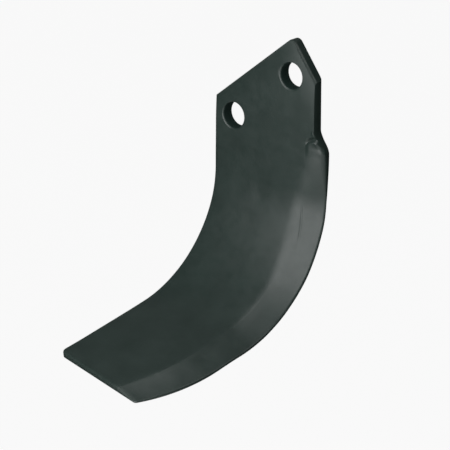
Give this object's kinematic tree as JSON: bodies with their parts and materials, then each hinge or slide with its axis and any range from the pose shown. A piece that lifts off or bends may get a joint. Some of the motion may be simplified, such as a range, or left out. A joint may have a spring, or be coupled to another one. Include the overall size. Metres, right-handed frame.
{
  "type": "rotary tiller blade",
  "caption": "Forged steel tiller blade: a flat bar with two bolt holes, forged to a cutting bevel along one edge and bent sideways in a wide curve.",
  "frame": {"origin": "midway between the two bolt holes, on the face that bolts to the rotor flange", "axes": "+Y is the bolts' axis, out of the mounting face into the flange; the shank's long edges run along Z and the blade hangs down -Z; +X is towards the cutting edge; the blade bends towards -Y"},
  "size_m": [0.1043, 0.1417, 0.1963],
  "materials": {
    "blade": "dark grey-green paint on forged steel, semi-gloss"
  },
  "bodies": {
    "root": {"blade": "blade"}
  },
  "joints": []
}
